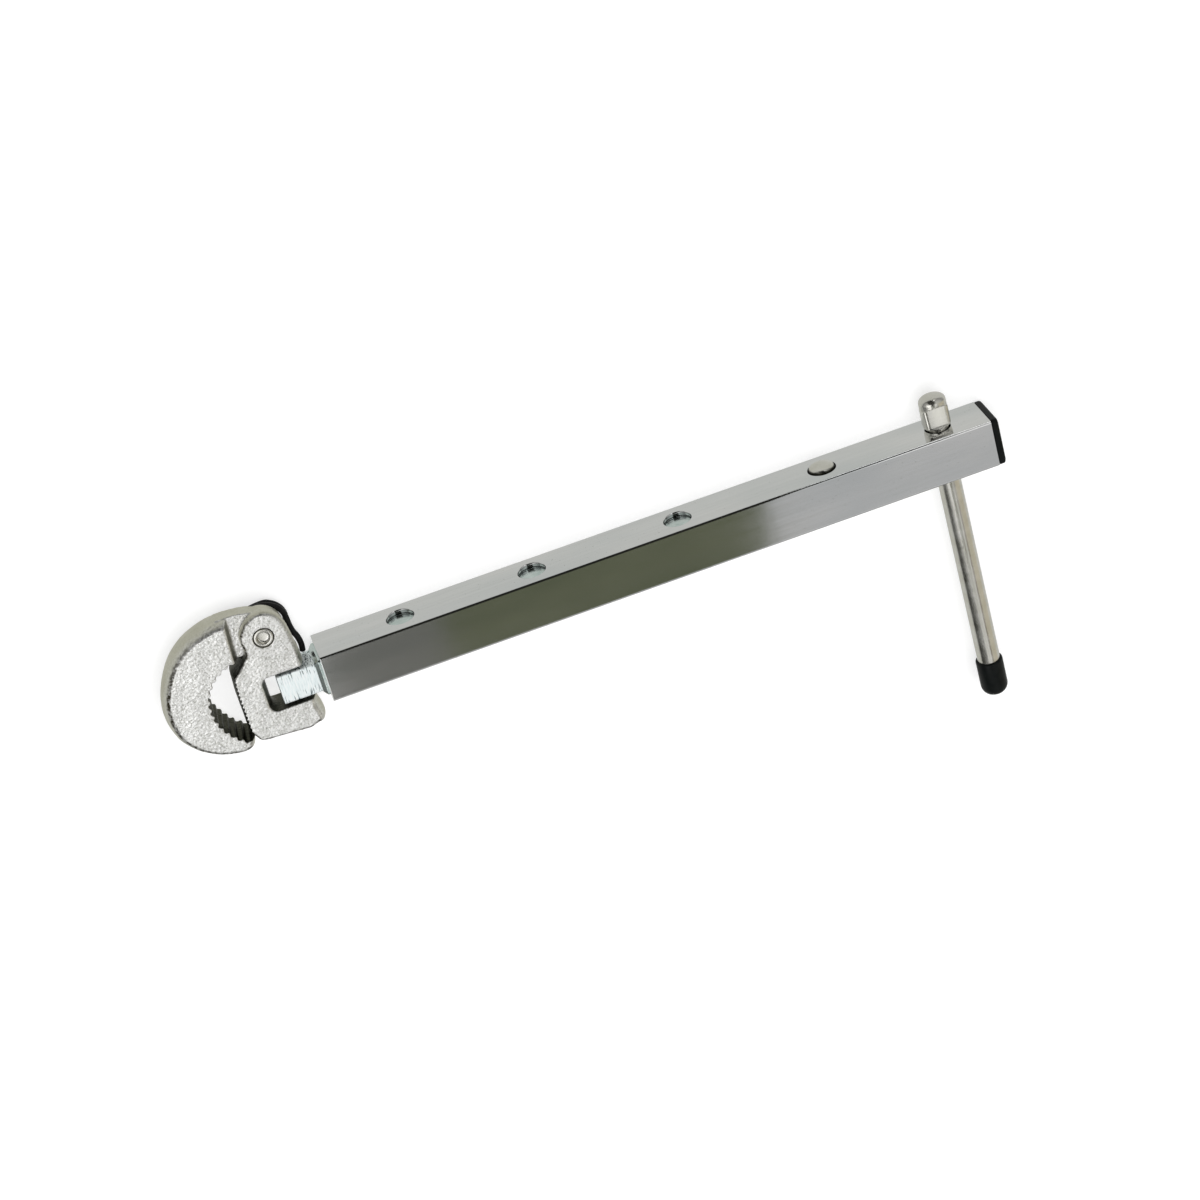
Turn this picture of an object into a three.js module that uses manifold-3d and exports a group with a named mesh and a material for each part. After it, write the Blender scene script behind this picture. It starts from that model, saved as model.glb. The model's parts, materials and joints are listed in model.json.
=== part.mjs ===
// Telescopic basin wrench: a square tube with a sliding inner bar, a spring lock button,
// a sliding tee bar, and a head with a fixed heel jaw and a sprung hook jaw.
//
// Units are millimetres. The wrench lies on its side: +X runs along the tube from the head
// to the end plug, +Y is the face with the locking holes, +Z is up. The origin is the centre
// of the tube's underside. Inside the `wrench` group, x = 0 is the tube's mouth and
// y = z = 0 is the tube's centre line.
import * as THREE from 'three';
import { mergeVertices } from 'three/addons/utils/BufferGeometryUtils.js';
import Module from 'manifold-3d';

const wasm = await Module();
wasm.setup();

// ---- driving dimensions ----
const TUBE = { side: 16, wall: 1.5, length: 218.8, corner: 1.4 };
const HALF = TUBE.side / 2;
const LOCK_HOLES = { x: [27.4, 70, 117.6, 165.2], r: 4.4 };
const BAR = { side: 12.7, bore: 10.4, from: -1.9, to: 178, chamfer: 1.1, corner: 1 };
const TONGUE = { side: 10, from: -14.2, to: 26, corner: 0.5 };
const SHANK_PIN = { x: 14, r: 1.5, hole: 1.65, reach: 6.2 };
const BUTTON = { r: 4.1, hole: 4.4, flange: 4.95, low: 3.2, flangeTop: 4.7, rim: 8.5, top: 9.4 };
const BUTTON_SPRING = { thick: 0.6, width: 7, reach: 19 };
const TEE = { x: 203.8, r: 3.7, hole: 4.1, low: -89.2 };
const TEE_HEAD = { neck: 8.2, top: 19.7, wide: 8.8, flat: 5.2, flatLow: 12, flatHigh: 16.5, room: 6 };
const TEE_CAP = { r: 4.4, bore: 3.85, low: -91.5, high: -78.5, dome: 3.2 };
const PLUG = { gap: 0.05, flange: 2.2, body: 12.4, wall: 1.5, reach: 10.4, bevel: 0.9 };

const JAW = { thick: 11, edge: 1.7 };
const PIVOT = new THREE.Vector2(-13.8, 19.5);
const RIVET = { r: 3, hole: 3.25, dimple: 2, dimpleDeep: 1, face: 5.4, head: 4.4, headLow: -7.6 };
const EAR = { low: 2.7, high: 8.6, left: 7.4, right: 8.7 };
const EYE = { high: 2.4, low: -2.6, r: 7.4, boss: 4.1, bossLow: -6.3 };
const EYE_ROOM = { r: 9.2, left: 13.8, right: 11.3 };
const WASHER = { r: 5.2, high: -6.5, thick: 0.6 };
const SPRING = { wire: 0.95, wide: 7.05, tall: 6.4, x: -12.3, y: 18.9, high: -3.75, low: -5.5 };
const TILT = { x: -9.6, r: 2, hole: 2.25, low: -15, high: 10.8 };
const SLOT = { left: -19, half: 6.05, corner: 2.4 };
const TEETH = { heelPitch: 1.55, heelDepth: 0.45, hookPitch: 2.5, hookDepth: 0.75 };

const SIDES = 24;
const BEYOND = 40;

// ---- materials ----
const finish = (color, roughness, metalness) =>
  new THREE.MeshStandardMaterial({ color, roughness, metalness });
const zinc = finish(0xb9bbbb, 0.28, 1);
const brightZinc = finish(0xd3dcde, 0.32, 1);
const castNickel = finish(0xcfccc4, 0.5, 1);
const nickel = finish(0xbdb8a6, 0.25, 1);
const blackPlastic = finish(0x141616, 0.45, 0);
const springSteel = finish(0x191a1b, 0.4, 1);
const steel = finish(0x9a9a98, 0.35, 1);

// ---- solids ----
const points = (list) => list.map(([x, y]) => new THREE.Vector2(x, y));

function solid(geometry) {
  const bare = geometry.index ? geometry.toNonIndexed() : geometry.clone();
  bare.deleteAttribute('normal');
  bare.deleteAttribute('uv');
  const merged = mergeVertices(bare, 1e-4);
  return new wasm.Manifold(new wasm.Mesh({
    numProp: 3,
    vertProperties: new Float32Array(merged.attributes.position.array),
    triVerts: new Uint32Array(merged.index.array),
  }));
}

function cut(body, ...tools) {
  return tools.reduce((rest, tool) => rest.subtract(tool), body);
}

function piece(name, body, material) {
  const { vertProperties, triVerts } = body.getMesh();
  const geometry = new THREE.BufferGeometry();
  geometry.setAttribute('position', new THREE.BufferAttribute(vertProperties, 3));
  geometry.setIndex(new THREE.BufferAttribute(triVerts, 1));
  geometry.computeVertexNormals();
  const mesh = new THREE.Mesh(geometry, material);
  mesh.name = name;
  return mesh;
}

const box = (x0, x1, y0, y1, z0, z1) => solid(
  new THREE.BoxGeometry(x1 - x0, y1 - y0, z1 - z0)
    .translate((x0 + x1) / 2, (y0 + y1) / 2, (z0 + z1) / 2),
);

const rodAlongY = (r, x, y0, y1) => solid(
  new THREE.CylinderGeometry(r, r, y1 - y0, SIDES).translate(x, (y0 + y1) / 2, 0),
);

const rodAlongZ = (r, x, y, z0, z1, sides = SIDES) => solid(
  new THREE.CylinderGeometry(r, r, z1 - z0, sides)
    .rotateX(Math.PI / 2).translate(x, y, (z0 + z1) / 2),
);

// A profile of (radius, height) pairs turned about the line through x, parallel to Y.
const turned = (profile, x) => solid(
  new THREE.LatheGeometry(profile.map(([r, y]) => new THREE.Vector2(r, y)), SIDES)
    .translate(x, 0, 0),
);

// A flat outline in X and Y, given a thickness from z0 to z1, with its rim rounded by `edge`.
function plate(outline, z0, z1, edge = 0) {
  return solid(new THREE.ExtrudeGeometry(outline, {
    depth: z1 - z0 - 2 * edge,
    bevelEnabled: edge > 0,
    bevelThickness: edge,
    bevelSize: edge,
    bevelOffset: -edge,
    bevelSegments: 2,
    curveSegments: 6,
  }).translate(0, 0, z0 + edge));
}

function squareOutline(side, corner) {
  const h = side / 2;
  const c = h - corner;
  const shape = new THREE.Shape();
  shape.moveTo(h, -c);
  shape.lineTo(h, c);
  shape.absarc(c, c, corner, 0, Math.PI / 2);
  shape.lineTo(-c, h);
  shape.absarc(-c, c, corner, Math.PI / 2, Math.PI);
  shape.lineTo(-h, -c);
  shape.absarc(-c, -c, corner, Math.PI, Math.PI * 1.5);
  shape.lineTo(c, -h);
  shape.absarc(c, -c, corner, Math.PI * 1.5, Math.PI * 2);
  return shape;
}

// A square bar along X from x0 to x1.
const bar = (side, corner, x0, x1) => solid(
  new THREE.ExtrudeGeometry(squareOutline(side, corner), {
    depth: x1 - x0, bevelEnabled: false, curveSegments: 3,
  }).rotateY(Math.PI / 2).translate(x0, 0, 0),
);

// A square block whose sides draw in over `bevel` at its far end, x1.
const bevelledBlock = (side, x0, x1, bevel) => bar(side, 0.8, x0, x1).intersect(solid(
  new THREE.CylinderGeometry(
    (side / 2 - bevel) * Math.SQRT2, (side / 2 + (x1 - x0 - bevel)) * Math.SQRT2, x1 - x0, 4,
  ).rotateY(Math.PI / 4).rotateZ(-Math.PI / 2).translate((x0 + x1) / 2, 0, 0),
));

// ---- handle ----
function outerTube() {
  const bore = TUBE.side - 2 * TUBE.wall;
  const holes = LOCK_HOLES.x.map((x) => rodAlongY(LOCK_HOLES.r, x, 0, TUBE.side));
  return cut(
    bar(TUBE.side, TUBE.corner, 0, TUBE.length),
    bar(bore, 0.4, -1, TUBE.length + 1),
    ...holes,
    rodAlongY(TEE.hole, TEE.x, -TUBE.side, TUBE.side),
  );
}

function endPlug() {
  const start = TUBE.length + PLUG.gap;
  const end = start + PLUG.flange;
  const flange = bevelledBlock(TUBE.side, start, end, PLUG.bevel);
  const body = bar(PLUG.body, 0.8, TUBE.length - PLUG.reach, TUBE.length + 1);
  const hollow = bar(PLUG.body - 2 * PLUG.wall, 0.5, TUBE.length - PLUG.reach - 1, TUBE.length - 1);
  return cut(flange.add(body), hollow);
}

// ---- sliding bar ----
function innerTube() {
  const blank = bar(BAR.side, BAR.corner, BAR.from, BAR.to);
  const nose = bevelledBlock(BAR.side, -BEYOND, -BAR.from, BAR.chamfer).rotate([0, 180, 0]);
  const body = blank.intersect(nose.add(bar(BAR.side, BAR.corner, 0, BAR.to)));
  return cut(
    body,
    bar(BAR.bore, 0.4, BAR.from - 1, BAR.to + 1),
    rodAlongY(BUTTON.hole, LOCK_HOLES.x[3], 0, BAR.side),
    rodAlongZ(SHANK_PIN.hole, SHANK_PIN.x, 0, -BAR.side, BAR.side, 16),
  );
}

function shankTongue() {
  return cut(
    bar(TONGUE.side, TONGUE.corner, TONGUE.from, TONGUE.to),
    rodAlongY(TILT.hole, TILT.x, -BAR.side, BAR.side),
    rodAlongZ(SHANK_PIN.hole, SHANK_PIN.x, 0, -BAR.side, BAR.side, 16),
  );
}

function lockButton() {
  return turned([
    [0, BUTTON.low], [BUTTON.flange, BUTTON.low], [BUTTON.flange, BUTTON.flangeTop],
    [BUTTON.r, BUTTON.flangeTop], [BUTTON.r, BUTTON.rim - 0.4],
    [BUTTON.r * 0.93, BUTTON.rim], [BUTTON.r * 0.6, BUTTON.top - 0.25], [0, BUTTON.top],
  ], LOCK_HOLES.x[3]);
}

// A bent leaf: its lower leg lies on the bar's floor and its upper leg lifts the button.
function buttonSpring() {
  const floor = -BAR.bore / 2 + 0.2;
  const lift = BUTTON.low - 0.2;
  const x = LOCK_HOLES.x[3];
  const { thick, reach } = BUTTON_SPRING;
  const bend = x - reach;
  const outline = new THREE.Shape();
  outline.moveTo(x + 4, floor);
  outline.lineTo(x + 4, floor + thick);
  outline.lineTo(bend + 2.4, floor + thick);
  outline.absarc(bend + 2.4, floor + 2.6, 2, -Math.PI / 2, -Math.PI * 1.4, true);
  outline.lineTo(x - 2, lift - thick);
  outline.lineTo(x + 3, lift - thick);
  outline.lineTo(x + 3, lift);
  outline.lineTo(x - 2.4, lift);
  outline.lineTo(bend + 1.4, floor + 5.1);
  outline.absarc(bend + 2.4, floor + 2.6, 2.6, -Math.PI * 1.4, -Math.PI / 2, false);
  return plate(outline, -BUTTON_SPRING.width / 2, BUTTON_SPRING.width / 2);
}

// ---- tee bar ----
// The upper end is squeezed flat front and back, which spreads it wider than its hole.
function teeBar() {
  const { neck, top, wide, flat, flatLow, flatHigh, room } = TEE_HEAD;
  const rod = turned([[0, TEE.low], [TEE.r, TEE.low], [TEE.r, neck], [0, neck + 0.5]], TEE.x);
  const halfWide = [[TEE.r, neck - 2], [TEE.r, neck], [wide / 2, neck + 2], [wide / 2, flatHigh],
    [wide * 0.43, top - 1.5], [wide * 0.28, top - 0.4]];
  const halfDeep = [[TEE.r, neck - 2], [TEE.r, neck + 0.6], [flat / 2, flatLow],
    [flat / 2, flatHigh], [flat / 3, top - 0.6], [flat / 5, top]];
  const mirrored = (half, middle = []) => new THREE.Shape(points([
    ...half, ...middle, ...half.map(([out, y]) => [-out, y]).reverse(),
  ]));
  const front = solid(new THREE.ExtrudeGeometry(mirrored(halfWide, [[0, top]]), {
    depth: 2 * room, bevelEnabled: false,
  }).translate(TEE.x, 0, -room));
  const profile = solid(new THREE.ExtrudeGeometry(mirrored(halfDeep), {
    depth: 2 * room, bevelEnabled: false,
  }).rotateY(Math.PI / 2).translate(TEE.x - room, 0, 0));
  const foot = rodAlongY(TEE.r, TEE.x, neck - 4, neck + 0.6);
  const below = box(TEE.x - room, TEE.x + room, 0, neck, -room, room);
  return rod.add(cut(front.intersect(profile), below)).add(foot);
}

function teeCap() {
  const { r, bore, low, high, dome } = TEE_CAP;
  return turned([
    [0, low], [r * 0.5, low + 0.35], [r * 0.85, low + 1.4], [r, low + dome],
    [r, high], [bore, high], [bore, TEE.low - 0.3], [0, TEE.low - 0.3],
  ], TEE.x);
}

// ---- head ----
const HEEL_BITE = [[-27.1, 8.6], [-27.1, -9.8]];

function heelOutline() {
  const shape = new THREE.Shape(points([
    ...HEEL_BITE, [-26.2, -12], [-24.9, -14.1], [-22.6, -15], [-9.4, -16.2], [-6.2, -16.4],
    [-4.1, -16], [-3.1, -14.7], [-2.8, -12.6], [-3.1, -10.4], [-4.3, -5], [-5.2, 3], [-5.2, 16],
  ]));
  shape.absellipse(PIVOT.x, PIVOT.y, EAR.right, EAR.high, 0, Math.PI / 2, false, 0);
  shape.absellipse(PIVOT.x, PIVOT.y, EAR.left, EAR.high, Math.PI / 2, Math.PI, false, 0);
  shape.lineTo(-21.1, 15.5);
  shape.lineTo(-21.9, 14.3);
  shape.lineTo(-24.9, 10.9);
  shape.lineTo(-26.4, 9.8);
  return shape;
}

function slotOutline() {
  const { left, half, corner } = SLOT;
  const shape = new THREE.Shape();
  shape.moveTo(BEYOND, half);
  shape.lineTo(left + corner, half);
  shape.absarc(left + corner, half - corner, corner, Math.PI / 2, Math.PI, false);
  shape.absarc(left + corner, corner - half, corner, Math.PI, Math.PI * 1.5, false);
  shape.lineTo(BEYOND, -half);
  return shape;
}

// V grooves cut square across an edge that runs through the given points.
function grooves(path, pitch, depth) {
  const length = path.getLength();
  const count = Math.floor(length / pitch);
  return Array.from({ length: count }, (_, i) => {
    const at = (i + 0.5) / count;
    const p = path.getPointAt(at);
    const t = path.getTangentAt(at);
    const n = new THREE.Vector2(-t.y, t.x);
    const half = pitch * 0.46;
    const corner = (along, out) => new THREE.Vector2(
      p.x + t.x * along + n.x * out, p.y + t.y * along + n.y * out,
    );
    const notch = new THREE.Shape([corner(-half, -1), corner(0, depth), corner(half, -1),
      corner(half, -1.5), corner(-half, -1.5)]);
    return plate(notch, -JAW.thick, JAW.thick);
  });
}

function heelJaw() {
  const half = JAW.thick / 2;
  const biteEdge = new THREE.LineCurve(...points(HEEL_BITE));
  return cut(
    plate(heelOutline(), -half, half, JAW.edge),
    plate(slotOutline(), -JAW.thick, JAW.thick),
    rodAlongZ(EYE_ROOM.r, PIVOT.x, PIVOT.y, -JAW.thick, EAR.low, 40),
    box(PIVOT.x, 0, EYE_ROOM.right, BEYOND, -JAW.thick, EAR.low),
    box(-BEYOND, PIVOT.x, EYE_ROOM.left, BEYOND, -JAW.thick, EAR.low),
    rodAlongZ(RIVET.hole, PIVOT.x, PIVOT.y, 0, JAW.thick),
    rodAlongY(TILT.hole, TILT.x, -BEYOND, 16),
    ...grooves(biteEdge, TEETH.heelPitch, TEETH.heelDepth),
  );
}

const HOOK_INNER = [[-27.6, -12.8], [-31, -10], [-34, -5.6], [-35.4, -0.7], [-35, 4.7],
  [-32.8, 9.3], [-29, 12.6], [-24.7, 14.2]];

function hookOutline() {
  const outer = [[-24, 28.9], [-30, 28.3], [-36.8, 25.8], [-42.9, 20.8], [-47.3, 13.4],
    [-49.6, 6.5], [-49.7, 0], [-47.8, -6.7], [-43.3, -12.1], [-37.5, -15.7], [-31.6, -17.2],
    [-28.4, -17.1], [-26.4, -16.1], [-25.7, -14.3]];
  return new THREE.Shape(points([...outer, ...HOOK_INNER, [-24, 15.2]]));
}

function eyeOutline() {
  const shape = new THREE.Shape(points([[-26, 14.1], [-21.2, 14.1], [-20.4, 14.5]]));
  shape.absarc(PIVOT.x, PIVOT.y, EYE.r, Math.PI * 1.3, Math.PI * 2.5, false);
  shape.lineTo(-15.5, 27.7);
  shape.lineTo(-18.2, 28.3);
  shape.lineTo(-20.5, 28.6);
  shape.lineTo(-26, 28.8);
  return shape;
}

function hookJaw() {
  const half = JAW.thick / 2;
  const biteEdge = new THREE.SplineCurve(points(HOOK_INNER).reverse());
  const eye = plate(eyeOutline(), EYE.low, EYE.high)
    .add(rodAlongZ(EYE.boss, PIVOT.x, PIVOT.y, EYE.bossLow, 0));
  return cut(
    plate(hookOutline(), -half, half, JAW.edge).add(eye),
    rodAlongZ(RIVET.hole, PIVOT.x, PIVOT.y, -JAW.thick, JAW.thick),
    ...grooves(biteEdge, TEETH.hookPitch, TEETH.hookDepth),
  );
}

function pivotRivet() {
  const shaft = rodAlongZ(RIVET.r, PIVOT.x, PIVOT.y, RIVET.headLow + 0.3, RIVET.face);
  const head = rodAlongZ(RIVET.head, PIVOT.x, PIVOT.y, RIVET.headLow, RIVET.headLow + 0.4);
  const deep = RIVET.face - RIVET.dimpleDeep;
  return cut(shaft.add(head), rodAlongZ(RIVET.dimple, PIVOT.x, PIVOT.y, deep, JAW.thick));
}

function pivotWasher() {
  const low = WASHER.high - WASHER.thick;
  return cut(
    rodAlongZ(WASHER.r, PIVOT.x, PIVOT.y, low, WASHER.high),
    rodAlongZ(RIVET.hole, PIVOT.x, PIVOT.y, -JAW.thick, JAW.thick),
  );
}

// Round wire: up the heel's edge, once round the boss, then out to the hook's step.
function springPath() {
  const { wide, tall, x, y, high, low } = SPRING;
  const level = (list, z) => points(list).map((p) => new THREE.Vector3(p.x, p.y, z));
  const steps = 25;
  const turns = 1.2;
  const coil = Array.from({ length: steps + 1 }, (_, i) => {
    const angle = (i / steps) * Math.PI * 2 * turns;
    const z = THREE.MathUtils.lerp(high, low, THREE.MathUtils.smoothstep(i / steps, 0.1, 0.7));
    return new THREE.Vector3(x + wide * Math.cos(angle), y + tall * Math.sin(angle), z);
  });
  return new THREE.CatmullRomCurve3([
    ...level([[-3.65, 6.2], [-3.45, 8.6], [-3.85, 11.3], [-4.65, 13.5], [-5.05, 15.8]], high),
    ...coil,
    ...level([[-13.2, 24.9], [-16.5, 24.3], [-19.5, 22.8], [-22.6, 21.5]], low),
  ], false, 'centripetal');
}

function jawSpring() {
  const section = new THREE.Shape();
  section.absarc(0, 0, SPRING.wire, 0, Math.PI * 2);
  return solid(new THREE.ExtrudeGeometry(section, {
    steps: 64, extrudePath: springPath(), bevelEnabled: false, curveSegments: 8,
  }));
}

const tiltPin = () => rodAlongY(TILT.r, TILT.x, TILT.low, TILT.high);
const shankPin = () => rodAlongZ(SHANK_PIN.r, SHANK_PIN.x, 0, -SHANK_PIN.reach, SHANK_PIN.reach, 16);

// ---- assembly ----
const handle = new THREE.Group();
handle.add(
  piece('outer_tube', outerTube(), zinc),
  piece('end_plug', endPlug(), blackPlastic),
);

const tee = new THREE.Group();
tee.add(piece('tee_bar', teeBar(), nickel), piece('tee_bar_cap', teeCap(), blackPlastic));

const slidingBar = new THREE.Group();
slidingBar.add(
  piece('inner_tube', innerTube(), zinc),
  piece('shank_tongue', shankTongue(), brightZinc),
  piece('shank_pin', shankPin(), steel),
  piece('lock_button', lockButton(), nickel),
  piece('button_spring', buttonSpring(), springSteel),
);

const head = new THREE.Group();
head.add(
  piece('heel_jaw', heelJaw(), castNickel),
  piece('hook_jaw', hookJaw(), castNickel),
  piece('jaw_rivet', pivotRivet(), nickel),
  piece('rivet_washer', pivotWasher(), steel),
  piece('jaw_spring', jawSpring(), springSteel),
  piece('tilt_pin', tiltPin(), steel),
);
slidingBar.add(head);

const wrench = new THREE.Group();
wrench.position.set(-TUBE.length / 2, 0, HALF);
wrench.add(handle, tee, slidingBar);

const object = new THREE.Group();
object.add(wrench);
export default object;
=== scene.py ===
import json
import math

import bpy
import numpy as np
from mathutils import Matrix, Vector, noise


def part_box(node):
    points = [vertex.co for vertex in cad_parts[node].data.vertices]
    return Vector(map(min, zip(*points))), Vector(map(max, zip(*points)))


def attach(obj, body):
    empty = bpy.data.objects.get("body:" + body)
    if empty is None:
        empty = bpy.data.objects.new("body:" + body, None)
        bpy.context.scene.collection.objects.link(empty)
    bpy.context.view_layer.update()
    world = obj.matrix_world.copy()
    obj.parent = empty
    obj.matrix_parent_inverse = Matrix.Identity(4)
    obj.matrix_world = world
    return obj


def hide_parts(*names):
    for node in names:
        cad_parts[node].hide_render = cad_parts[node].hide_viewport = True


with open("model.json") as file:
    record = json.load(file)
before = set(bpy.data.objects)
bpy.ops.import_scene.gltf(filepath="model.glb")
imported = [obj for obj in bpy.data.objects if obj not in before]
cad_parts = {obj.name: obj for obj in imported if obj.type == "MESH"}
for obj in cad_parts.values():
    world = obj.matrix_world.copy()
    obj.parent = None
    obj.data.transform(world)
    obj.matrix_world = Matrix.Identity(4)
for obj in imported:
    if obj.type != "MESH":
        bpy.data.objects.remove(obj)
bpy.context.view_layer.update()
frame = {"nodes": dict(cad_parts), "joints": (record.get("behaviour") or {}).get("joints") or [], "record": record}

# Shapes are written in millimetres in the tube's own frame: x runs from the tube's mouth
# towards its plug, and y = z = 0 is the tube's centre line. `make` turns them into metres
# in the row frame.
MM = 0.001
TUBE_LOW, TUBE_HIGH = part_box("outer_tube")
ORIGIN = Vector((TUBE_LOW.x, (TUBE_LOW.y + TUBE_HIGH.y) / 2, (TUBE_LOW.z + TUBE_HIGH.z) / 2))
JOINTS = {joint["name"]: joint for joint in frame["joints"]}


def in_tube(point):
    """A point of the row frame, in metres, as millimetres in the tube's frame."""
    return (Vector(point) - ORIGIN) / MM


def tube_box(node):
    """The lowest and highest corners of a CAD node, in millimetres in the tube's frame."""
    low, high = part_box(node)
    return in_tube(low), in_tube(high)


RECORD = frame["record"]
SLOT_OF = {part["node"]: part["material_slot"] for part in RECORD["subparts"]}
BODY_OF = {node: body for body, nodes in RECORD["behaviour"]["bodies"].items() for node in nodes}
PIVOT = in_tube(JOINTS["hook_swing"]["pos_m"])
TILT = in_tube(JOINTS["head_tilt"]["pos_m"])
TUBE_END = tube_box("outer_tube")[1]
HALF_TUBE = TUBE_END.y
HALF_JAW = tube_box("heel_jaw")[1].z
LOCK_X = [27.4, 70, 117.6, sum(corner.x for corner in tube_box("lock_button")) / 2]
TEE_X = sum(corner.x for corner in tube_box("tee_bar")) / 2
HOLE_RADIUS = 4.35
RIVET_BORE = 3.25
TILT_BORE = 2.25
HOOK_CROWN = 1.9
PEBBLE, PEBBLE_DEPTH = 1.1, 0.06
CAST_STEP = 0.25


# ---------------------------------------------------------------- meshes

def make(name, points, faces, sharp=35):
    """A mesh object from points in millimetres in the tube's frame."""
    mesh = bpy.data.meshes.new(name)
    coords = np.asarray(points, float) * MM + np.array(ORIGIN)
    mesh.from_pydata(coords.tolist(), [], [tuple(int(i) for i in face) for face in faces])
    mesh.validate()
    mesh.polygons.foreach_set("use_smooth", [True] * len(mesh.polygons))
    if sharp:
        mesh.set_sharp_from_angle(angle=math.radians(sharp))
    piece = bpy.data.objects.new(name, mesh)
    bpy.context.scene.collection.objects.link(piece)
    return piece


def flat_faced(piece):
    """Keeps flat faces flat in the shading, right up to their rounded edges."""
    modifier = piece.modifiers.new("flat_faces", "WEIGHTED_NORMAL")
    modifier.weight = 100
    modifier.keep_sharp = True


def place(piece, node):
    """The piece stands for a CAD node, with that node's body and finish."""
    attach(piece, BODY_OF[node])
    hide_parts(node)
    finish(piece, MATERIALS[SLOT_OF[node]])


def finish(piece, material):
    piece.data.materials.clear()
    piece.data.materials.append(material)


def surface_of(piece):
    """Every vertex's place, in millimetres in the tube's frame, and its normal."""
    count = len(piece.data.vertices)
    places, normals = np.empty(count * 3), np.empty(count * 3)
    piece.data.vertices.foreach_get("co", places)
    piece.data.vertices.foreach_get("normal", normals)
    return (places.reshape(-1, 3) - np.array(ORIGIN)) / MM, normals.reshape(-1, 3)


def marked(piece, name, weight):
    """Stores a weight from 0 to 1 on every vertex, from its place and normal, for the material."""
    places, normals = surface_of(piece)
    values = np.broadcast_to(weight(*places.T, *normals.T), len(places))
    layer = piece.data.attributes.new(name, "FLOAT", "POINT")
    layer.data.foreach_set("value", values.astype(np.float32))


def lofted(name, loops, closed, sharp=35):
    """Joins loops of equally many points. A closed loft meets its own first loop."""
    count = len(loops[0])
    rows = len(loops)
    faces = []
    for row in range(rows if closed else rows - 1):
        after = (row + 1) % rows
        for i in range(count):
            j = (i + 1) % count
            faces.append((row * count + i, row * count + j, after * count + j, after * count + i))
    if not closed:
        faces.append(tuple(range(count - 1, -1, -1)))
        faces.append(tuple(range((rows - 1) * count, rows * count)))
    return make(name, np.concatenate(loops), faces, sharp)


def turned(name, profile, centre, axis, sides=72, sharp=35):
    """Turns (radius, height) pairs about an axis through a point. The ends meet the axis."""
    along = Vector(axis).normalized()
    side = along.orthogonal().normalized()
    third = along.cross(side)
    points = [Vector(centre) + along * profile[0][1]]
    rings = profile[1:-1]
    for radius, height in rings:
        for i in range(sides):
            turn = 2 * math.pi * i / sides
            out = side * math.cos(turn) + third * math.sin(turn)
            points.append(Vector(centre) + along * height + out * radius)
    points.append(Vector(centre) + along * profile[-1][1])
    faces = []
    for i in range(sides):
        j = (i + 1) % sides
        faces.append((0, 1 + j, 1 + i))
        last = 1 + (len(rings) - 1) * sides
        faces.append((len(points) - 1, last + i, last + j))
        for row in range(len(rings) - 1):
            a, b = 1 + row * sides, 1 + (row + 1) * sides
            faces.append((a + i, a + j, b + j, b + i))
    return make(name, [tuple(p) for p in points], faces, sharp)


def swept(name, path, radius, sides=20):
    """A round wire along a path, with softly rounded ends."""
    path = [Vector(p) for p in path]
    tangents = [(b - a).normalized() for a, b in zip(path, path[1:])]
    tangents.append(tangents[-1])
    side = tangents[0].orthogonal().normalized()
    loops = []
    for index, (point, tangent) in enumerate(zip(path, tangents)):
        side = (side - tangent * side.dot(tangent)).normalized()
        third = tangent.cross(side)
        ring = [side * math.cos(a) + third * math.sin(a)
                for a in np.linspace(0, 2 * math.pi, sides, endpoint=False)]
        ends = {0: -1, len(path) - 1: 1}
        steps = [(radius, 0)]
        if index in ends:
            steps = [(radius * math.cos(t), radius * 0.5 * math.sin(t)) for t in (0, 0.6, 1.1)]
            if index == 0:
                steps.reverse()
        for size, push in steps:
            centre = point + tangent * push * ends.get(index, 0)
            loops.append([tuple(centre + out * size) for out in ring])
    return lofted(name, loops, closed=False)


def rounded_square(half, corner, steps=6):
    """Points (y, z) round a square with rounded corners, counter-clockwise seen from +x."""
    points = []
    for quarter in range(4):
        for step in range(steps + 1):
            angle = (quarter + step / steps) * math.pi / 2
            cy = (half - corner) * (1 if quarter in (0, 3) else -1)
            cz = (half - corner) * (1 if quarter in (0, 1) else -1)
            points.append((cy + corner * math.cos(angle), cz + corner * math.sin(angle)))
    return points


def square_loop(x, half, corner):
    return [(x, y, z) for y, z in rounded_square(half, corner)]


def cut_with(piece, *tools):
    """Cuts the tools out of the piece with exact booleans, and removes the tools."""
    for tool in tools:
        modifier = piece.modifiers.new("cut", "BOOLEAN")
        modifier.operation = "DIFFERENCE"
        modifier.solver = "EXACT"
        modifier.object = tool
    bpy.context.view_layer.update()
    shaped = piece.evaluated_get(bpy.context.evaluated_depsgraph_get())
    mesh = bpy.data.meshes.new_from_object(shaped)
    piece.modifiers.clear()
    piece.data = mesh
    mesh.set_sharp_from_angle(angle=math.radians(35))
    for tool in tools:
        bpy.data.objects.remove(tool)
    return piece


# ---------------------------------------------------------------- cast shapes
# A casting is a field: a function of x, y and z that is negative inside the metal.

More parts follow.
